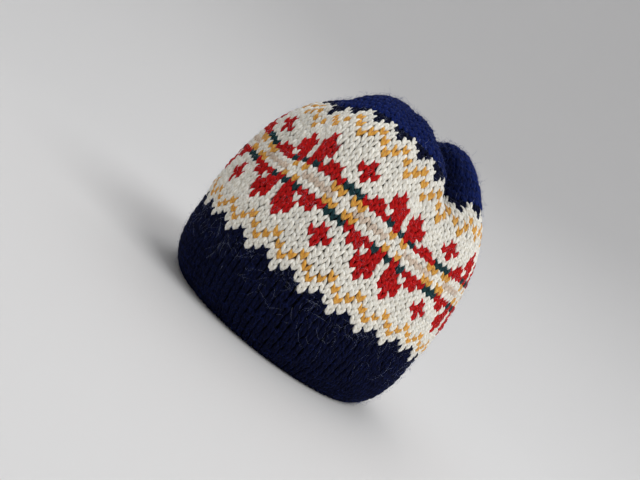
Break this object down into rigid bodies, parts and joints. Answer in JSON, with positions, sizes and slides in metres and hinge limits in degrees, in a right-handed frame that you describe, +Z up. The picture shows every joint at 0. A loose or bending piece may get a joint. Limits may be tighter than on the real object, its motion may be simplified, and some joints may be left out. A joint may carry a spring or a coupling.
{
  "type": "knitted cap",
  "caption": "Hand-knitted wool winter cap with a ribbed band, a stranded colour pattern round the body and a gathered crown.",
  "frame": {"origin": "on the ground below the middle of the cap's box", "axes": "+Z up from the rim to the crown, -Y to the cap's front, +X to its side"},
  "size_m": [0.1628, 0.1704, 0.1543],
  "materials": {
    "navy_wool": "matt wool yarn with a fine halo of hairs",
    "white_wool": "matt wool yarn with a fine halo of hairs",
    "gold_wool": "matt wool yarn",
    "red_wool": "matt wool yarn",
    "green_wool": "matt wool yarn",
    "beige_wool": "matt wool yarn"
  },
  "bodies": {
    "root": {"ribbed_band": "navy_wool", "patterned_body": "white_wool", "gathered_crown": "navy_wool"}
  },
  "joints": []
}
